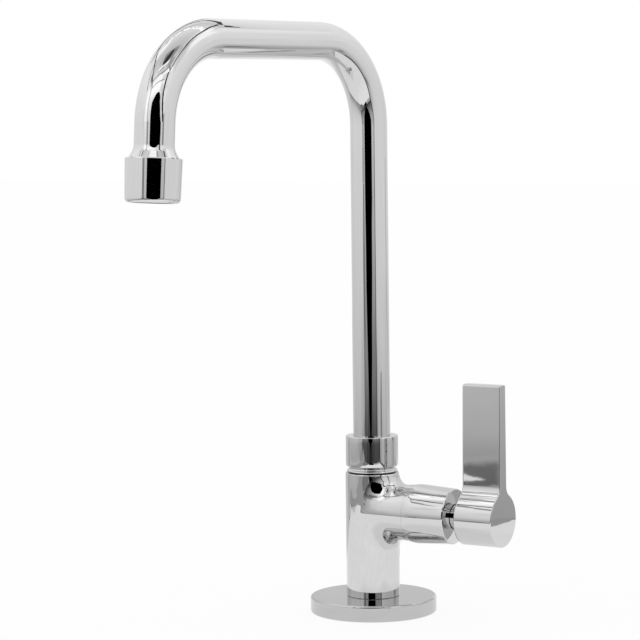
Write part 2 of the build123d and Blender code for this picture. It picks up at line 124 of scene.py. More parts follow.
# How points are brought onto the casting: the number of steps, the distance over which the slope is taken,
# two floors that keep divisions safe, and where along the arm the search for the crease starts
PROJECT_STEPS = 8
PROBE = 0.01
LEAST_STEEPNESS = 0.1
LEAST_PRODUCT = 1.0
CREASE_GUESS = 4.0

# The casting's mesh: cells round the column, cells across and up the junction's frame, cells below it, the
# height where it starts, and the rings from it to the crease and on along the neck, crowded at the crease
AROUND_CELLS = 100
FACING_CELLS = 60
TALL_CELLS = 60
LOW_CELLS = 16
JUNCTION_LOW = 28.5
COLUMN_RINGS = 36
NECK_RINGS = 36
RING_CROWDING = 1.5

# Cells round the bonnet and the collar
TURNED_CELLS = 160

# The bonnet, as places along the arm and radii in millimetres: its outside next to the neck, the places of
# that part's rings, its far end and its bore
BONNET_SWELL = [(23.25, 13.60), (23.8, 13.69), (24.6, 13.82), (25.6, 13.92), (26.8, 13.95), (28.0, 13.92)]
BONNET_STEPS = [23.25, 23.45, 23.65, 23.85, 24.1, 24.35, 24.6, 24.9, 25.25, 25.6, 26.0, 26.4, 26.8, 27.4,
                28.0]
BONNET_END = [(44.3, 13.0), (44.7, 12.6)]
BONNET_BORE = [(44.7, 6.05), (42.7, 6.05), (42.7, 11.3), (37.25, 11.3), (37.25, 12.05), (23.25, 12.05)]

# The collar, as heights and radii in millimetres: its flared foot, its face, which is flat over a share of
# its half height and sags towards both ends, its upper edge and its bore
COLLAR_FOOT = [(67.30, 11.70), (67.36, 11.95), (67.55, 12.08), (67.80, 12.00), (68.10, 11.70), (68.40, 11.35),
               (68.70, 11.13), (68.90, 11.10), (69.30, 11.42), (69.90, 12.00), (70.15, 12.25)]
COLLAR_R = 12.45
COLLAR_LOW = 70.3
COLLAR_HIGH = 84.0
COLLAR_FLAT = 0.64
COLLAR_SAG = 0.052
COLLAR_FACE_RINGS = 25
COLLAR_EDGE = [(84.17, 12.28), (84.29, 12.17), (84.37, 12.03), (84.40, 11.87)]
COLLAR_BORE = [(84.40, 8.9), (82.55, 8.9), (82.55, 10.5275), (67.30, 10.5275)]

# The colours of the metals
CHROME = (0.62, 0.62, 0.622, 1)
DISC_CHROME = (0.56, 0.56, 0.565, 1)
# Painted shade: near-black chrome for the recess in the column's rim, standing in for the shadow there
UNDERCUT_PAINTED_SHADE = (0.07, 0.07, 0.07, 1)
BRASS_BRIGHT = (0.80, 0.63, 0.34, 1)
BRASS_DARK = (0.70, 0.52, 0.26, 1)
STEEL = (0.66, 0.67, 0.68, 1)

# The materials that aren't metal: two tones, the scale of their patches, the range of roughness, the depth
# of the grain in metres, and how much finer than the patches the grain is
DULL = {
    "rubber": {"light": (0.055, 0.055, 0.057, 1), "dark": (0.03, 0.03, 0.031, 1), "patches": 160.0,
               "rough": (0.5, 0.75), "depth": 0.00004},
    "ceramic": {"light": (0.90, 0.89, 0.86, 1), "dark": (0.86, 0.845, 0.81, 1), "patches": 90.0,
                "rough": (0.18, 0.3), "depth": 0.000004},
    "plastic": {"light": (0.87, 0.87, 0.85, 1), "dark": (0.82, 0.82, 0.79, 1), "patches": 70.0,
                "rough": (0.35, 0.5), "depth": 0.00001},
}
GRAIN_FINER = 12

# Parts of a noise's range that are stretched over a whole range of roughness, tone or brightness
ROUGHNESS_SPREAD = (0.25, 0.75)
TONE_SPREAD = (0.3, 0.7)
TARNISH_SPREAD = (0.35, 0.75)
GLEAM_SPREAD = (0.4, 0.6)

# The floor: half its width in metres, its grey under the light, and how bright it shows
FLOOR_REACH = 6.0
FLOOR_GREY = 0.9
FLOOR_SHOWN = 0.9

X, Y, Z = 0, 1, 2

# The colour sockets of a mix node
MIX_LOW, MIX_HIGH, MIX_RESULT = 6, 7, 2

# Each wall: its corners, the axes of its soft patches, how much their edges waver, its brightness
# against the second axis, and the patches: low and high on each axis, softness, factor
WALLS = {
    "tent_left": {
        "corners": [(LEFT, FRONT, 0), (LEFT, BACK, 0), (LEFT, BACK, TOP), (LEFT, FRONT, TOP)],
        "axes": (Y, Z), "waver": 0.006,
        "fade": [(0, .58), (.011, .67), (.022, .55), (.036, .68), (.07, .80), (.14, .92), (.22, 1),
                 (.46, 1.23), (.60, 1.10)],
        "patches": [(-.60, -.40, -.10, .16, .03, .4), (-.42, -.305, .28, .52, .02, 1.3),
                    (-.30, -.26, .265, .345, .010, .88), (-.40, -.20, -.10, .10, .02, .87),
                    (-.300, -.262, -.01, .0155, .0035, .36), (-.60, -.345, -.01, .026, .006, .6)],
    },
    "tent_right": {
        "corners": [(RIGHT, FRONT, 0), (RIGHT, BACK, 0), (RIGHT, BACK, TOP), (RIGHT, FRONT, TOP)],
        "axes": (Y, Z), "waver": 0.004,
        "fade": [(0, .60), (.04, .66), (.10, .85), (.16, .95), (.26, 1), (.42, 1.11), (.50, 1.22),
                 (.60, 1.15)],
        "patches": [(.03, .30, -.10, .13, .03, .78), (-.17, 0, .46, .70, .03, 1.2),
                    (.05, .085, .048, .068, .006, .3), (-.36, -.20, .46, .70, .03, .78),
                    (-.60, -.41, .235, .298, .012, .25), (-.235, -.170, -.05, .066, .012, .62),
                    (-.60, -.33, -.10, .08, .03, .85)],
    },
    "tent_front": {
        "corners": [(LEFT, FRONT, 0), (RIGHT, FRONT, 0), (RIGHT, FRONT, TOP), (LEFT, FRONT, TOP)],
        "axes": (X, Z), "waver": 0.006,
        "fade": [(0, .10), (.02, .13), (.06, .31), (.14, .53), (.22, .75), (.30, 1.08), (.42, 1.25),
                 (.50, 1.60), (.60, 1.45)],
        "patches": [(-.20, .08, -.10, .05, .015, .6), (-.10, 0, -.10, .045, .015, .4),
                    (-.01, .60, .44, .70, .02, .72), (.03, .13, .495, .525, .015, 1.25),
                    (.05, .28, -.10, .10, .02, .8), (-.355, -.312, .08, .31, .010, .3),
                    (.05, .10, .28, .45, .015, .7)],
    },
    "tent_back": {
        "corners": [(LEFT, BACK, 0), (RIGHT, BACK, 0), (RIGHT, BACK, TOP), (LEFT, BACK, TOP)],
        "axes": (X, Z), "waver": 0.006,
        "fade": [(0, .78), (.045, .71), (.08, .79), (.18, .90), (.26, .94), (.42, 1.14), (.50, 1.10),
                 (.60, .90)],
        "patches": [(-.31, -.19, -.10, .056, .012, .68), (.05, .13, .020, .050, .010, 1.45),
                    (-.235, -.185, .225, .300, .012, 1.2), (-.065, .005, .13, .30, .010, 1.15),
                    (-.105, -.078, .24, .40, .008, .75)],
    },
    "tent_top": {
        "corners": [(LEFT, FRONT, TOP), (RIGHT, FRONT, TOP), (RIGHT, BACK, TOP), (LEFT, BACK, TOP)],
        "axes": (X, Y), "waver": 0.02,
        "fade": [(-.46, 1.50), (-.42, 1.45), (-.395, .95), (-.30, .90), (-.23, .72), (-.10, .92), (0, 1.12),
                 (.09, .93), (.14, .85)],
        "patches": [(-.37, -.20, -.06, .13, .02, 1.32), (-.60, -.23, -.40, -.18, .02, 1.2),
                    (-.16, .05, -.298, -.19, .012, .5), (-.215, 0, -.333, -.303, .006, 1.6),
                    (-.17, -.09, -.358, -.336, .006, .6), (.13, .18, -.22, -.05, .02, 1.2),
                    (.25, .40, -.13, .05, .02, 1.4), (0, .13, -.38, -.30, .02, .55),
                    (-.27, -.235, .05, .20, .012, .6)],
    },
    "tent_table": {
        "corners": [(LEFT, FRONT, TABLE), (RIGHT, FRONT, TABLE), (RIGHT, BACK, TABLE), (LEFT, BACK, TABLE)],
        "axes": (X, Y), "waver": 0.006,
        "fade": [(-.46, 1.15), (-.25, 1.15), (-.15, 1.06), (.14, 1.02)],
        "patches": [(-.60, -.315, -.60, .30, .010, .42), (.07, .40, -.60, -.402, .010, .5),
                    # The last patch is painted shade: the table darkened round the disc, where the tap shades
                    # it
                    (-.055, .070, -.072, .055, .018, .87)],
    },
}

# Flat shapes on the walls: the wall, the brightness and the outline
PANELS = {
    "camera_opening": ("tent_front", 0, [
        (-.060, .0165), (-.105, .030), (-.130, .040), (-.150, .060), (-.190, .095), (-.215, .120),
        (-.217, .150), (-.235, .180), (-.236, .340), (-.225, .400), (-.180, .420), (-.110, .445),
        (-.030, .445), (.010, .425), (.048, .395), (.052, .365), (.088, .335), (.110, .300), (.160, .268),
        (.158, .255), (.132, .245), (.132, .180), (.105, .163), (.095, .130), (.062, .100), (.048, .075),
        (.020, .050), (0, .034), (-.025, .026)]),
    "table_end": ("tent_table", 0, [(-.13, FRONT), (-.11, -.402), (.03, -.402), (.06, -.425), (.03, FRONT)]),
    "table_corner": ("tent_table", .45, [
        (LEFT, -.140), (-.300, -.140), (-.285, -.190), (-.272, -.235), (-.250, -.300), (-.312, -.305),
        (-.318, FRONT), (LEFT, FRONT)]),
    "table_corner_low": ("tent_table", .26, [
        (-.312, -.305), (-.250, -.300), (-.200, -.315), (-.188, -.345), (-.150, -.385), (-.125, -.402),
        (-.125, FRONT), (-.318, FRONT)]),
    "table_side": ("tent_table", .18, [
        (.262, FRONT), (.256, -.100), (.262, .035), (RIGHT, .035), (RIGHT, FRONT)]),
    "table_side_end": ("tent_table", .42, [
        (.262, .035), (.281, .068), (.298, .095), (.313, .119), (RIGHT, .13), (RIGHT, .035)]),
    "ceiling_fold": ("tent_top", .06, [
        (-.158, -.270), (-.150, -.305), (-.090, -.314), (-.040, -.306), (-.022, -.275), (-.015, -.235),
        (-.028, -.195), (-.060, -.200), (-.090, -.225), (-.130, -.245)]),
    "left_corner": ("tent_left", .35, [
        (-.42, TOP), (-.42, .580), (-.315, .572), (-.300, .545), (-.215, .545), (-.210, TOP)]),
    "low_gleam": ("tent_left", 1.1, [
        (-.262, .0110), (-.272, .0095), (-.278, .0078), (-.283, .0066), (-.288, .0052), (-.278, .0047),
        (-.270, .0051), (-.262, .0046)]),
}

# Seams and folds of the tent: the wall, half the width, the brightness, how ragged, and its line
SEAMS = [
    ("tent_front", .015, .03, .004, [(.292, 0), (.283, .10), (.281, .20), (.290, .285), (.240, .293)]),
    ("tent_front", .030, .03, .004, [(.240, .293), (.215, .310), (.200, .332), (.178, .350), (.162, .370),
                                     (.158, .395), (.142, .415), (.148, .440), (.150, .500), (.185, .600)]),
    ("tent_top", .018, .02, .004, [(.215, -.46), (.228, -.38), (.228, -.25), (.222, -.215), (.200, -.18),
                                   (.195, -.09), (.210, -.05), (.206, -.02), (.182, .02), (.178, .14)]),
    ("tent_back", .012, .1, .003, [(.150, .60), (.155, .55), (.200, .558), (.260, .566)]),
    ("tent_front", .009, .1, 0, [(-.372, 0), (-.372, .20), (-.378, .43), (-.378, .60)]),
    ("tent_top", .012, .04, .004, [(-.376, -.46), (-.374, -.20), (-.366, -.12), (-.374, 0), (-.378, .14)]),
    ("tent_back", .015, .1, .003, [(-.386, .50), (-.290, .480), (-.241, .437), (-.210, .425), (-.183, .424),
                                   (-.148, .447), (-.111, .441), (-.078, .461), (-.039, .462), (.017, .496),
                                   (.070, .515), (.100, .537), (.150, .556)]),
    ("tent_back", .013, .35, .004, [(-.205, .425), (-.160, .412), (-.120, .395), (-.095, .375),
                                    (-.088, .345)]),
    ("tent_top", .006, .3, .004, [(-.386, -.355), (-.339, -.365), (-.216, -.387), (-.077, -.410)]),
    ("tent_top", .011, .3, .004, [(-.090, -.412), (.030, -.410), (.090, -.385), (.150, -.412), (.215, -.44)]),
    ("tent_front", .006, .5, .002, [(-.386, .585), (-.265, .573), (-.094, .55), (.079, .53)]),
    ("tent_table", .006, .05, 0, [(.268, .04), (.262, 0), (.262, -.25), (.268, -.46)]),
    ("tent_table", .004, .3, 0, [(-.240, .14), (-.320, .084), (-.386, -.03)]),
    ("tent_back", .005, .2, .002, [(.243, .21), (.245, .14), (.220, .11), (.150, .074)]),
    ("tent_back", .006, .3, .002, [(.150, .022), (.260, .030)]),
    ("tent_left", .012, .45, .004, [(-.237, .44), (-.17, .50), (-.11, .56), (-.08, .60)]),
]

# The bright, crumpled fold that crosses the ceiling: half its width, its brightness and its line
GLEAM_HALF = 0.017
GLEAM_LOW = 0.8
GLEAM_HIGH = 2.4
GLEAM_SCALE = 45.0
GLEAM_LINE = [(-.235, .050), (-.176, .060), (-.117, .066), (-.060, .052), (0, .030), (.067, .012),
              (.170, -.028)]

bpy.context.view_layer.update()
studio = Matrix.Rotation(ARM_TURN, 4, "Z")


class Tree:
    """A new material's nodes, with short calls to add and join them."""

    def __init__(self, name):
        self.material = bpy.data.materials.new(name)
        self.material.use_nodes = True
        self.nodes = self.material.node_tree.nodes
        self.links = self.material.node_tree.links
        self.nodes.clear()
        self.end = self.nodes.new("ShaderNodeOutputMaterial")

    def feed(self, socket, value):
        if isinstance(value, bpy.types.NodeSocket):
            self.links.new(value, socket)
        else:
            socket.default_value = value

    def add(self, kind, inputs, **settings):
        node = self.nodes.new(kind)
        for name, value in settings.items():
            setattr(node, name, value)
        for name, value in inputs.items():
            self.feed(node.inputs[name], value)
        return node

    def calc(self, operation, *values):
        node = self.nodes.new("ShaderNodeMath")
        node.operation = operation
        for socket, value in zip(node.inputs, values):
            self.feed(socket, value)
        return node.outputs[0]

    def span(self, value, start, stop, low=0.0, high=1.0, shape="LINEAR"):
        """value, moved from the range start to stop to the range low to high."""
        inputs = {"Value": value, "From Min": start, "From Max": stop, "To Min": low, "To Max": high}
        return self.add("ShaderNodeMapRange", inputs, interpolation_type=shape).outputs["Result"]

    def blend(self, factor, low, high):
        """The first colour where the factor is 0, the second where it is 1."""
        node = self.add("ShaderNodeMix", {"Factor": factor}, data_type="RGBA")
        node.inputs[MIX_LOW].default_value = low
        node.inputs[MIX_HIGH].default_value = high
        return node.outputs[MIX_RESULT]

    def place(self):
        return self.add("ShaderNodeTexCoord", {}).outputs["Object"]

    def axes(self, place):
        return self.add("ShaderNodeSeparateXYZ", {"Vector": place}).outputs

    def noise(self, place, scale, detail=2.0):
        inputs = {"Vector": place, "Scale": scale, "Detail": detail}
        return self.add("ShaderNodeTexNoise", inputs).outputs["Fac"]

    def finish(self, shader):
        self.links.new(shader.outputs[0], self.end.inputs["Surface"])
        return self.material

    def glow(self, strength):
        return self.finish(self.add("ShaderNodeEmission", {"Strength": strength}))


def put_in_studio(item):
    """Adds a part of the tent, which neither the camera nor a matt surface sees."""
    bpy.context.scene.collection.objects.link(item)
    item.matrix_world = studio
    item.visible_camera = False
    item.visible_diffuse = False
    item.visible_shadow = False


def card(name, corners, faces, material):
    """A flat part of the tent, or a strip of several faces."""
    mesh = bpy.data.meshes.new(name)
    mesh.from_pydata(corners, [], faces)
    mesh.materials.append(material)
    put_in_studio(bpy.data.objects.new(name, mesh))


def soft_patch(tree, first, second, patch):
    """The patch's factor inside it and one outside, with soft edges."""
    low_first, high_first, low_second, high_second, softness, factor = patch
    inside = None
    for axis, low, high in ((first, low_first, high_first), (second, low_second, high_second)):
        rise = tree.span(axis, low - softness, low + softness, shape="SMOOTHSTEP")
        fall = tree.span(axis, high - softness, high + softness, 1.0, 0.0, "SMOOTHSTEP")
        band = tree.calc("MULTIPLY", rise, fall)
        inside = band if inside is None else tree.calc("MULTIPLY", inside, band)
    return tree.calc("MULTIPLY_ADD", inside, factor - 1, 1.0)


def wall_light(name, wall):
    """The brightness of one wall: its fade, its soft patches and the cloth's small wrinkles."""
    tree = Tree(name)
    place = tree.place()
    axes = tree.axes(place)
    first, second = (axes[axis] for axis in wall["axes"])
    low, high = wall["fade"][0][0], wall["fade"][-1][0]
    ramp = tree.add("ShaderNodeValToRGB", {"Fac": tree.span(second, low, high)})
    stops = ramp.color_ramp.elements
    stops.remove(stops[1])
    stops[0].position = 0
    for index, (height, level) in enumerate(wall["fade"]):
        stop = stops[0] if index == 0 else stops.new((height - low) / (high - low))
        shade = level / GLOW_GAIN
        stop.color = (shade, shade, shade, 1)
    level = ramp.outputs["Color"]
    if wall["waver"]:
        waver = tree.calc("SUBTRACT", tree.noise(place, WAVER_SCALE, WAVER_DETAIL), NOISE_MIDDLE)
        first = tree.calc("MULTIPLY_ADD", waver, wall["waver"], first)
        second = tree.calc("MULTIPLY_ADD", waver, wall["waver"], second)
    for patch in wall["patches"]:
        level = tree.calc("MULTIPLY", level, soft_patch(tree, first, second, patch))
    cloth = tree.noise(place, WRINKLE_SCALE, WRINKLE_DETAIL)
    wrinkles = tree.span(cloth, 0, 1, 1 - WRINKLE_LEVEL, 1 + WRINKLE_LEVEL)
    return tree.glow(tree.calc("MULTIPLY", tree.calc("MULTIPLY", level, wrinkles), GLOW_GAIN))


def on_wall(wall_name, first, second, proud):
    """A point of a wall, a little in front of it."""
    point = {
        "tent_left": (LEFT + proud, first, second),
        "tent_right": (RIGHT - proud, first, second),
        "tent_front": (first, FRONT + proud, second),
        "tent_back": (first, BACK - proud, second),
        "tent_top": (first, second, TOP - proud),
        "tent_table": (first, second, TABLE + proud / TABLE_CLOSER),
    }
    return Vector(point[wall_name])


def ragged_line(line, amount, random):
    """The line in short steps, each moved a little to one side."""
    points = []
    for before, after in zip(line, line[1:]):
        before, after = Vector(before), Vector(after)
        steps = max(1, int((after - before).length / RAGGED_STEP))
        across = (after - before).normalized().orthogonal()
        for step in range(steps):
            aside = across * amount * random.uniform(-1, 1)
            points.append(before.lerp(after, step / steps) + aside)
    return points + [Vector(line[-1])]


def strip(name, wall_name, half, line, material):
    """A narrow strip along a line on a wall."""
    corners = []
    for index, point in enumerate(line):
        before, after = line[max(index - 1, 0)], line[min(index + 1, len(line) - 1)]
        run = (Vector(after) - Vector(before)).normalized()
        for side in (-half, half):
            place = point[X] - run.y * side, point[Y] + run.x * side
            corners.append(on_wall(wall_name, *place, SEAM_PROUD))
    faces = [(2 * i, 2 * i + 1, 2 * i + 3, 2 * i + 2) for i in range(len(line) - 1)]
    card(name, corners, faces, material)


def crumpled_glow():
    """A brightness that goes up and down in lumps."""
    tree = Tree("gleam")
    return tree.glow(tree.span(tree.noise(tree.place(), GLEAM_SCALE), *GLEAM_SPREAD, GLEAM_LOW, GLEAM_HIGH))


def make_tent():
    """The walls, the panels that lie on them, the seams over those, and the crumpled fold."""
    random = Random(SEED)
    for name, wall in WALLS.items():
        card(name, wall["corners"], [range(len(wall["corners"]))], wall_light(name, wall))
    for name, (wall_name, level, outline) in PANELS.items():
        corners = [on_wall(wall_name, *point, PANEL_PROUD) for point in outline]
        card(name, corners, [range(len(outline))], Tree(name).glow(level))
    for index, (wall_name, half, level, ragged, line) in enumerate(SEAMS):
        if ragged:
            line = ragged_line(line, ragged, random)
        strip(f"seam_{index}", wall_name, half, line, Tree(f"seam_{index}").glow(level))
    strip("gleam", "tent_top", GLEAM_HALF, GLEAM_LINE, crumpled_glow())


def make_camera():
    data = bpy.data.cameras.new("camera")
    data.sensor_width = SENSOR_MM
    data.lens = FOCAL_PIXELS * SENSOR_MM / FRAME_PIXELS
    data.clip_end = CLIP_END
    camera = bpy.data.objects.new("camera", data)
    bpy.context.scene.collection.objects.link(camera)
    forward = Vector((0, math.cos(CAMERA_PITCH), -math.sin(CAMERA_PITCH)))
    level_up = Vector((0, math.sin(CAMERA_PITCH), math.cos(CAMERA_PITCH)))
    level_right = Vector((1, 0, 0))
    right = math.cos(CAMERA_ROLL) * level_right + math.sin(CAMERA_ROLL) * level_up
    up = math.cos(CAMERA_ROLL) * level_up - math.sin(CAMERA_ROLL) * level_right
    turn = Matrix((right, up, -forward)).transposed().to_4x4()
    place = Matrix.Translation((CAMERA_SIDE, -CAMERA_BACK, CAMERA_HEIGHT))
    camera.matrix_world = studio @ place @ turn
    bpy.context.scene.camera = camera


def make_floor():
    """A pale floor that shows as white and keeps a little of the shadow."""
    tree = Tree("floor")
    diffuse = tree.add("ShaderNodeBsdfDiffuse", {"Color": (FLOOR_GREY, FLOOR_GREY, FLOOR_GREY, 1)})
    white = tree.add("ShaderNodeEmission", {"Strength": 1.0})
    path = tree.add("ShaderNodeLightPath", {}).outputs
    mirrored = tree.calc("MAXIMUM", path["Is Glossy Ray"], path["Is Transmission Ray"])
    shown = tree.calc("MULTIPLY", tree.calc("MAXIMUM", path["Is Camera Ray"], mirrored), FLOOR_SHOWN)
    mix = tree.add("ShaderNodeMixShader", {0: shown, 1: diffuse.outputs[0], 2: white.outputs[0]})
    mesh = bpy.data.meshes.new("floor")
    reach = FLOOR_REACH
    corners = [(-reach, -reach, 0), (reach, -reach, 0), (reach, reach, 0), (-reach, reach, 0)]
    mesh.from_pydata(corners, [], [range(len(corners))])
    mesh.materials.append(tree.finish(mix))
    floor = bpy.data.objects.new("floor", mesh)
    bpy.context.scene.collection.objects.link(floor)


def make_world():
    """Even white light from all round, for everything that isn't a mirror."""
    world = bpy.data.worlds.new("studio")
    world.use_nodes = True
    world.node_tree.nodes["Background"].inputs["Color"].default_value = (1, 1, 1, 1)
    world.node_tree.nodes["Background"].inputs["Strength"].default_value = 1.0
    bpy.context.scene.world = world


class Shell:
    """A closed skin built ring by ring, in millimetres."""

    def __init__(self):
        self.points = []
        self.faces = []

    def ring(self, points):
        start = len(self.points)
        self.points.extend(tuple(point) for point in points)
        return list(range(start, len(self.points)))

    def join(self, ring, following):
        """Fills the band between two rings of as many points, and gives back the second."""
        for i in range(len(ring)):
            after = (i + 1) % len(ring)
            self.faces.append((ring[i], ring[after], following[after], following[i]))
        return following

    def turn(self, ring, profile, place, close=True):
        """Goes on from a ring along a turned profile of (distance along the axis, radius)."""
        angles = [place.angle(self.points[index]) for index in ring]
        for along, radius in profile:
            ring = self.join(ring, self.ring([place.point(along, radius, angle) for angle in angles]))
        if close:
            self.faces.append(tuple(ring))
        return ring

    def piece(self, name, body, node, slot):
        """Makes the skin a piece of a body, in place of a CAD node."""
        mesh = bpy.data.meshes.new(name)
        mesh.from_pydata([Vector(point) * MM for point in self.points], [], self.faces)
        shape = bmesh.new()
        shape.from_mesh(mesh)
        bmesh.ops.recalc_face_normals(shape, faces=shape.faces)
        shape.to_mesh(mesh)
        shape.free()
        mesh.polygons.foreach_set("use_smooth", [True] * len(mesh.polygons))
        mesh.set_sharp_from_angle(angle=SMOOTH_ANGLE)
        made = bpy.data.objects.new(name, mesh)
        bpy.context.scene.collection.objects.link(made)
        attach(made, body)
        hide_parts(node)
        return made


class Upright:
    """Turned shapes round the column's axis."""

    @staticmethod
    def angle(point):
        return math.atan2(point[Y], point[X])

    @staticmethod
    def point(along, radius, angle):
        return (radius * math.cos(angle), radius * math.sin(angle), along)


class OnArm:
    """Turned shapes round the arm's axis."""

    @staticmethod
    def angle(point):
        return math.atan2(point[Y], point[Z] - ARM_HEIGHT)

    @staticmethod
    def point(along, radius, angle):
        return (along, radius * math.sin(angle), ARM_HEIGHT + radius * math.cos(angle))


def neck_radius(x):
    """The neck's radius at a place along the arm: a slow taper that opens faster towards the end."""
    flare = np.maximum(x - NECK_FLARE_START, 0) / (ARM_END - NECK_FLARE_START)
    return NECK_R + NECK_SLOPE * x + NECK_FLARE * flare ** NECK_FLARE_POWER - joint_dip(x)


def joint_dip(x):
    """The shallow dip that polishing leaves where the neck meets the bonnet."""
    return JOINT_DIP * np.exp(-((x - ARM_END) / JOINT_WIDTH) ** 2)


def casting_gap(points):
    """How far points are outside the casting. The crease of column and neck is blended over a width that
    shrinks where both face alike, so that nothing swells where they run side by side."""
    x, y, up = points[:, X], points[:, Y], points[:, Z] - ARM_HEIGHT
    behind = np.minimum(x, 0)
    from_column, from_arm = np.hypot(x, y), np.sqrt(y * y + up * up + behind * behind)
    column = from_column - COLUMN_R
    neck = from_arm - neck_radius(np.maximum(x, 0))
    alike = (y * y + behind * behind) / np.maximum(from_column * from_arm, LEAST_PRODUCT)
    alike = np.clip(alike, 0, 1)
    width = BLEND * (1 - alike) * (1 + BLEND_WIDEN * alike) + BLEND_LEAST
    share = np.clip(0.5 + 0.5 * (neck - column) / width, 0, 1)
    return neck + (column - neck) * share - width * share * (1 - share)


def slope(points):
    """How the gap grows along each axis."""
    steps = np.eye(3) * PROBE
    return np.stack([(casting_gap(points + step) - casting_gap(points - step)) / (2 * PROBE)
                     for step in steps], 1)


def onto_casting(points):
    """Moves points straight onto the casting, in a few steps."""
    points = np.array(points, float)
    for _ in range(PROJECT_STEPS):
        steep = slope(points)
        points -= steep * (casting_gap(points) / np.maximum((steep ** 2).sum(1), LEAST_STEEPNESS))[:, None]
    return points


def crease_point(angle):
    """Where the neck's line at an angle round the arm meets the column."""
    x = CREASE_GUESS
    for _ in range(PROJECT_STEPS):
        radius = float(neck_radius(x))
        x = math.sqrt(max(COLUMN_R ** 2 - (radius * math.sin(angle)) ** 2, 0.0))
    return OnArm.point(x, radius, angle)


def junction_frame():
    """The angles round the arm and the matching cells of the column's grid that frame the junction."""
    half = FACING_CELLS // 2
    top = [(step - half, TALL_CELLS) for step in range(FACING_CELLS)]
    right = [(half, TALL_CELLS - step) for step in range(TALL_CELLS)]
    low = [(half - step, 0) for step in range(FACING_CELLS)]
    left = [(-half, step) for step in range(TALL_CELLS)]
    cells = top + right + low + left
    counts = [FACING_CELLS, TALL_CELLS, FACING_CELLS, TALL_CELLS]
    angles = []
    for side, count in enumerate(counts):
        angles += [(side - 0.5 + step / count) * math.pi / 2 for step in range(count)]
    return cells, angles


def column_grid(shell):
    """The column's outside as a grid with a hole for the junction, and its turned rim and foot."""
    step = 2 * math.pi / AROUND_CELLS
    half = FACING_CELLS // 2
    heights = list(np.linspace(COLUMN_LOW + COLUMN_CHAMFER, JUNCTION_LOW, LOW_CELLS + 1)[:-1])
    heights += list(np.linspace(JUNCTION_LOW, RIM - COLUMN_CHAMFER, TALL_CELLS + 1))
    grid = {}
    for row, height in enumerate(heights):
        for cell in range(AROUND_CELLS):
            aside = (cell + AROUND_CELLS // 2) % AROUND_CELLS - AROUND_CELLS // 2
            if not (abs(aside) < half and 0 < row - LOW_CELLS < TALL_CELLS):
                grid[row, cell] = shell.ring([Upright.point(height, COLUMN_R, cell * step)])[0]
    for row in range(len(heights) - 1):
        for cell in range(AROUND_CELLS):
            after = (cell + 1) % AROUND_CELLS
            corners = [(row, cell), (row, after), (row + 1, after), (row + 1, cell)]
            in_frame = row >= LOW_CELLS and (cell + half) % AROUND_CELLS < FACING_CELLS
            if not in_frame:
                shell.faces.append(tuple(grid[corner] for corner in corners))
    shell.turn([grid[len(heights) - 1, cell] for cell in range(AROUND_CELLS)], RIM_PROFILE, Upright)
    shell.turn([grid[0, cell] for cell in range(AROUND_CELLS)], FOOT_PROFILE, Upright)
    return grid


def rings_to_crease(shell, frame_ring, creases):
    """Rings over the column, from the grid's hole towards the crease."""
    ring = frame_ring
    for index in range(COLUMN_RINGS - 1, 0, -1):
        share = (index / COLUMN_RINGS) ** RING_CROWDING
        points = []
        for crease, edge in zip(creases, frame_ring):
            edge = shell.points[edge]
            angle = Upright.angle(crease) * (1 - share) + Upright.angle(edge) * share
            points.append(Upright.point(crease[Z] * (1 - share) + edge[Z] * share, COLUMN_R, angle))
        ring = shell.join(ring, shell.ring(onto_casting(points)))
    return ring


def rings_along_neck(shell, ring, creases, angles):
    """Rings from the crease to the end of the neck."""
    for index in range(NECK_RINGS + 1):
        share = (index / NECK_RINGS) ** RING_CROWDING
        points = []
        for crease, angle in zip(creases, angles):
            along = crease[X] + (ARM_END - crease[X]) * share
            points.append(OnArm.point(along, float(neck_radius(along)), angle))
        ring = shell.join(ring, shell.ring(onto_casting(points)))
    return ring


def tap_body():
    """Column and neck as one polished casting, with its threaded ends, socket and seats."""
    shell = Shell()
    grid = column_grid(shell)
    cells, angles = junction_frame()
    frame_ring = [grid[LOW_CELLS + row, cell % AROUND_CELLS] for cell, row in cells]
    creases = [crease_point(angle) for angle in angles]
    ring = rings_to_crease(shell, frame_ring, creases)
    ring = rings_along_neck(shell, ring, creases, angles)
    shell.turn(ring, ARM_PROFILE, OnArm)
    return shell.piece("body_casting", "root", "tap_body", "chrome")


def turned_sleeve(profile, place):
    """A sleeve whose profile runs over its outside and back through its bore."""
    shell = Shell()
    angles = [2 * math.pi * cell / TURNED_CELLS for cell in range(TURNED_CELLS)]
    start = shell.ring([place.point(*profile[0], angle) for angle in angles])
    end = shell.turn(start, profile[1:], place, close=False)
    shell.join(end, start)
    return shell


def collar():
    """The turned nut under the spout: a flared foot, a waist, a bevel and a face with softened ends."""
    middle = (COLLAR_LOW + COLLAR_HIGH) / 2
    half = (COLLAR_HIGH - COLLAR_LOW) / 2
    face = []
    for share in np.linspace(-1, 1, COLLAR_FACE_RINGS):
        soft = max(0.0, abs(share) - COLLAR_FLAT) / (1 - COLLAR_FLAT)
        face.append((middle + half * share, COLLAR_R - COLLAR_SAG * soft ** 2))
    shell = turned_sleeve(COLLAR_FOOT + face + COLLAR_EDGE + COLLAR_BORE, Upright)
    return shell.piece("collar_turning", "root", "collar_nut", "chrome")


def bonnet():
    """The turned sleeve that carries the arm's line on from the neck."""
    swell = [(x, float(np.interp(x, *zip(*BONNET_SWELL)) - joint_dip(x))) for x in BONNET_STEPS]
    shell = turned_sleeve(swell + BONNET_END + BONNET_BORE, OnArm)
    return shell.piece("bonnet_turning", "root", "valve_bonnet", "chrome")


def radius_from(tree, place, across, up):
    """The distance from an axis, for the marks that turning leaves."""
    axes = tree.axes(place)
    squares = [tree.calc("MULTIPLY", axes[axis], axes[axis]) for axis in (across, up)]
    return tree.calc("SQRT", tree.calc("ADD", *squares))


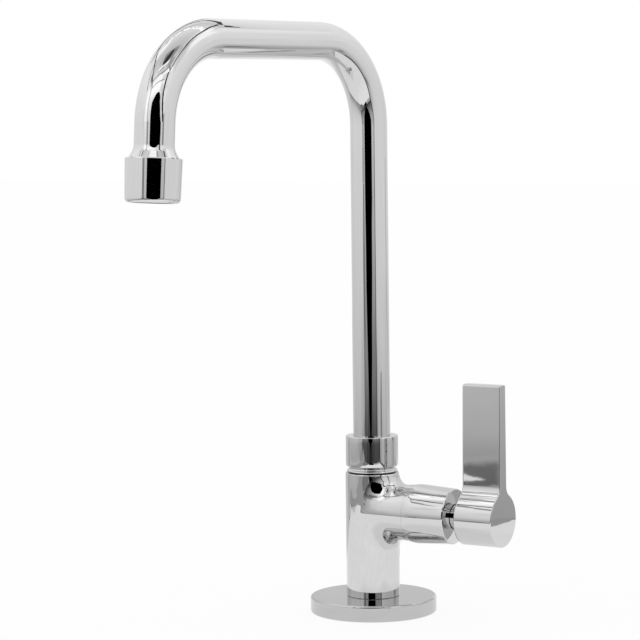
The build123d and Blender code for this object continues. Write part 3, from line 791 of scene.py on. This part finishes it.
def line_noise(tree, value, scale):
    """Noise along one line, for fine rings."""
    inputs = {"W": tree.calc("MULTIPLY", value, scale), "Scale": 1.0, "Detail": 2.0}
    return tree.add("ShaderNodeTexNoise", inputs, noise_dimensions="1D").outputs["Fac"]


def surface(tree, colour, roughness, height, depth, metallic):
    """A shader whose height map is a fine bump, with its depth in metres."""
    bump = tree.add("ShaderNodeBump", {"Height": height, "Strength": 1.0, "Distance": depth})
    inputs = {"Base Color": colour, "Metallic": metallic, "Roughness": roughness, "Normal": bump.outputs[0]}
    return tree.finish(tree.add("ShaderNodeBsdfPrincipled", inputs))


def metal(tree, place, colour, rough, patches, height, depth):
    """A metal whose roughness varies in patches."""
    roughness = tree.span(tree.noise(place, patches, detail=4.0), *ROUGHNESS_SPREAD, *rough)
    return surface(tree, colour, roughness, height, depth, metallic=1.0)


def chrome_drawn():
    """Plated tube: almost flawless, with the faintest ripple from polishing."""
    tree = Tree("chrome_drawn")
    place = tree.place()
    ripple = tree.noise(place, scale=90.0)
    return metal(tree, place, CHROME, rough=(0.012, 0.028), patches=60.0, height=ripple, depth=0.000004)


def polished_casting(tree, place, colour):
    """Plated casting: hand-polished, so its mirror swims a little."""
    swim = tree.noise(place, scale=140.0)
    return metal(tree, place, colour, rough=(0.012, 0.03), patches=80.0, height=swim, depth=0.000006)


def chrome_cast():
    """Plated castings with no painted shade."""
    tree = Tree("chrome_cast")
    return polished_casting(tree, tree.place(), CHROME)


def chrome_column_painted_shade():
    """The column's casting, with painted shade: its chrome is painted near black in the recess of its rim."""
    tree = Tree("chrome_column_painted_shade")
    place = tree.place()
    start, stop = RIM - 2 * PAINTED_SHADE_EDGE, RIM - PAINTED_SHADE_EDGE
    above = tree.span(tree.axes(place)[Z], start * MM, stop * MM)
    inner, outer = PAINTED_SHADE_R, PAINTED_SHADE_R + PAINTED_SHADE_EDGE
    within = tree.span(radius_from(tree, place, X, Y), inner * MM, outer * MM, 1.0, 0.0)
    # Where the painted shade goes: inside the recess of the rim
    painted_shade = tree.calc("MULTIPLY", above, within)
    return polished_casting(tree, place, tree.blend(painted_shade, CHROME, UNDERCUT_PAINTED_SHADE))


def chrome_turned(name, colour):
    """Plated turning: faint rings round its own axis."""
    tree = Tree(name)
    place = tree.place()
    rings = line_noise(tree, radius_from(tree, place, X, Y), scale=1500.0)
    return metal(tree, place, colour, rough=(0.015, 0.03), patches=60.0, height=rings, depth=0.0000004)


def brass():
    """Turned brass: fine rings, and patches of tarnish."""
    tree = Tree("brass")
    place = tree.place()
    along = tree.calc("ADD", tree.axes(place)[Z], radius_from(tree, place, X, Y))
    rings = line_noise(tree, along, scale=2500.0)
    tarnish = tree.span(tree.noise(place, scale=55.0, detail=5.0), *TARNISH_SPREAD)
    colour = tree.blend(tarnish, BRASS_BRIGHT, BRASS_DARK)
    return metal(tree, place, colour, rough=(0.16, 0.34), patches=120.0, height=rings, depth=0.000008)


def steel():
    """Brushed steel: a noise that is stretched along the brushing."""
    tree = Tree("steel")
    place = tree.place()
    stretch = tree.add("ShaderNodeMapping", {"Vector": place, "Scale": (60.0, 2600.0, 2600.0)})
    brushing = tree.noise(stretch.outputs[0], scale=1.0, detail=3.0)
    return metal(tree, place, STEEL, rough=(0.18, 0.32), patches=300.0, height=brushing, depth=0.000004)


def dull(name, light, dark, patches, rough, depth):
    """Rubber, ceramic or plastic: two close tones, a varying sheen and a fine grain."""
    tree = Tree(name)
    place = tree.place()
    tone = tree.span(tree.noise(place, patches, detail=4.0), *TONE_SPREAD)
    grain = tree.noise(place, patches * GRAIN_FINER, detail=3.0)
    roughness = tree.span(grain, *ROUGHNESS_SPREAD, *rough)
    return surface(tree, tree.blend(tone, dark, light), roughness, grain, depth, metallic=0.0)


def dress():
    """Gives every CAD node its finish: by its slot, and for chrome by how the piece is made."""
    finishes = {"brass": brass(), "steel": steel()}
    for name, look in DULL.items():
        finishes[name] = dull(name, **look)
    drawn, cast, turned = chrome_drawn(), chrome_cast(), chrome_turned("chrome_turned", CHROME)
    by_making = {
        "spout_tube": drawn,
        "base_flange": chrome_turned("chrome_disc", DISC_CHROME),
        "aerator_housing": turned,
        "collar_turning": turned,
        # The casting's finish, with the painted shade in its rim's recess
        "body_casting": chrome_column_painted_shade(),
    }
    for part in frame["record"]["subparts"]:
        slot = part["material_slot"]
        finish = by_making.get(part["node"], cast) if slot == "chrome" else finishes[slot]
        for place in frame["nodes"][part["node"]].material_slots:
            place.material = finish
    for piece in (tap_body(), bonnet(), collar()):
        piece.data.materials.append(by_making.get(piece.name, cast))


bpy.context.scene.view_settings.view_transform = "Standard"
make_camera()
make_tent()
make_floor()
make_world()
dress()
